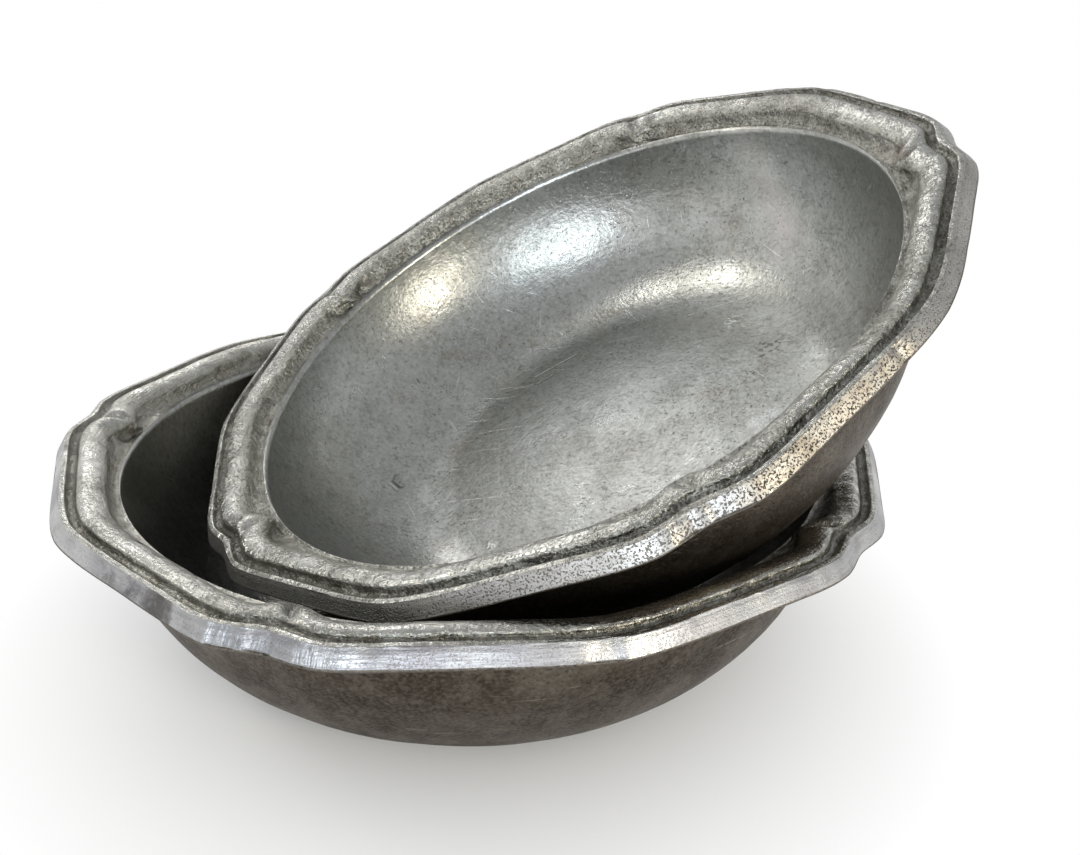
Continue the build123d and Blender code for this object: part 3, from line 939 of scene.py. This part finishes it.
# %% Camera
SENSOR_WIDTH = 36.0
FOCAL_PIXELS = 986.6
PHOTO_WIDTH = 1080
CAMERA_PLACE = (10.65, -188.07, 119.66)
camera_data = bpy.data.cameras.new("camera")
camera_data.sensor_width = SENSOR_WIDTH
camera_data.lens = SENSOR_WIDTH * FOCAL_PIXELS / PHOTO_WIDTH
camera_data.clip_start = 0.01
camera = bpy.data.objects.new("camera", camera_data)
scene.collection.objects.link(camera)
right = Vector((0.99979, -0.00471, 0.02009))
down = Vector((0.01667, -0.38896, -0.9211))
ahead = Vector((0.01215, 0.92124, -0.3888))
turn = Matrix((right, -down, -ahead)).transposed().to_4x4()
camera.matrix_world = Matrix.Translation(Vector(CAMERA_PLACE) * MM) @ turn
scene.camera = camera
print("lens", round(camera_data.lens, 2), "mm")

# %% [markdown]
# The bowls stand on white paper that curves up into a backdrop a long way off, as in a studio. Near the
# bowls the paper is lit like anything else and keeps their shadow; further out it fades to plain white for
# the camera and for reflections, so that the background is clean from every side.

# %% Paper sweep
SWEEP_RADIUS, SWEEP_RISE, SWEEP_FLAT = 3.0, 1.1, 1.9
SWEEP_STEPS = 8
SIDES = 64
PAPER_DROP = 0.0003
profile = [(0.0, 0.0), (SWEEP_FLAT * 0.5, 0.0), (SWEEP_FLAT, 0.0)]
for step in range(1, SWEEP_STEPS + 1):
    angle = pi / 2 * step / SWEEP_STEPS
    radius_out = SWEEP_FLAT + (SWEEP_RADIUS - SWEEP_FLAT) * sin(angle)
    profile.append((radius_out, SWEEP_RISE * (1 - cos(angle))))
points = [(0.0, 0.0, -PAPER_DROP)]
for radius_out, height in profile[1:]:
    for k in range(SIDES):
        angle = 2 * pi * k / SIDES
        points.append((radius_out * cos(angle), radius_out * sin(angle), height - PAPER_DROP))
faces = [(0, 1 + k, 1 + (k + 1) % SIDES) for k in range(SIDES)]
for ring in range(len(profile) - 2):
    for k in range(SIDES):
        a = 1 + ring * SIDES + k
        b = 1 + ring * SIDES + (k + 1) % SIDES
        faces.append((a, a + SIDES, b + SIDES, b))
sweep_mesh = bpy.data.meshes.new("paper_sweep")
sweep_mesh.from_pydata(points, [], faces)
for polygon in sweep_mesh.polygons:
    polygon.use_smooth = True
sweep = bpy.data.objects.new("paper_sweep", sweep_mesh)
scene.collection.objects.link(sweep)
print("sweep faces", len(sweep_mesh.polygons))

# %% [markdown]
# Paper is matt and evenly white, so a diffuse shader is enough near the bowls. Further out the shader turns
# to plain white light, but only for the camera and for reflections: the paper lights nothing by itself.

# %% Paper
PLAIN_FROM, PLAIN_TO = 0.045, 0.1
paper = bpy.data.materials.new("Matt white paper")
paper.use_nodes = True
tree = paper.node_tree
tree.nodes.clear()
lit = add(tree, "ShaderNodeBsdfDiffuse", {"Color": (0.9, 0.9, 0.9, 1)})
plain = add(tree, "ShaderNodeEmission", {"Color": (1, 1, 1, 1), "Strength": 1.0})
spot = add(tree, "ShaderNodeTexCoord").outputs["Object"]
away = add(tree, VECTOR_MATH, [spot], operation="LENGTH")
far = add(tree, "ShaderNodeMapRange", [away, PLAIN_FROM, PLAIN_TO, 0, 1])
path = add(tree, "ShaderNodeLightPath")
seen = joined(tree, [path.outputs["Is Camera Ray"], path.outputs["Is Glossy Ray"],
                     path.outputs["Is Transmission Ray"]])
share = add(tree, MATH, [far, seen], operation="MULTIPLY")
mixed = add(tree, "ShaderNodeMixShader", [share, lit, plain])
add(tree, "ShaderNodeOutputMaterial", [mixed])
sweep_mesh.materials.append(paper)
print("the paper is plain white from", PLAIN_TO / MM, "mm out")

# %% [markdown]
# Soft lights: a window in front, a little to the left, whose reflection makes the bright patch high on the
# far side of the leaning well; a panel above and to the left; a warm lamp in front to the right; a weak white
# card high behind; and a low strip behind, whose reflection runs along the rubbed crests. The grey world
# fills the rest.

# %% Light
world = bpy.data.worlds.new("studio")
scene.world = world
world.use_nodes = True
world.node_tree.nodes["Background"].inputs["Color"].default_value = (0.96, 0.98, 1.0, 1)
world.node_tree.nodes["Background"].inputs["Strength"].default_value = 0.53


def lamp(name, place, size, power, colour=(1, 1, 1), aim=(0, 0, 0.06)):
    data = bpy.data.lights.new(name, "AREA")
    data.shape = "RECTANGLE"
    data.size, data.size_y = size
    data.energy = power
    data.color = colour
    item = bpy.data.objects.new(name, data)
    scene.collection.objects.link(item)
    item.location = place
    item.rotation_euler = (Vector(aim) - Vector(place)).to_track_quat("-Z", "Y").to_euler()
    print(name, power, "W")


lamp("window", (-0.3, -1.5, 0.40), (0.8, 0.46), 9.0, (0.82, 0.91, 1.0))
lamp("panel", (-1.02, 0.23, 0.92), (0.36, 0.42), 2.9, (1.0, 0.97, 0.89))
lamp("warm lamp", (1.04, -1.08, 0.5), (0.45, 0.45), 12.0, (1.0, 0.93, 0.77))
lamp("white card", (-0.6, 1.1, 1.2), (0.8, 0.6), 1.1)
lamp("strip", (-0.42, 1.24, 0.82), (0.5, 0.12), 1.5, (1.0, 0.97, 0.92))

scene.view_settings.view_transform = "Standard"
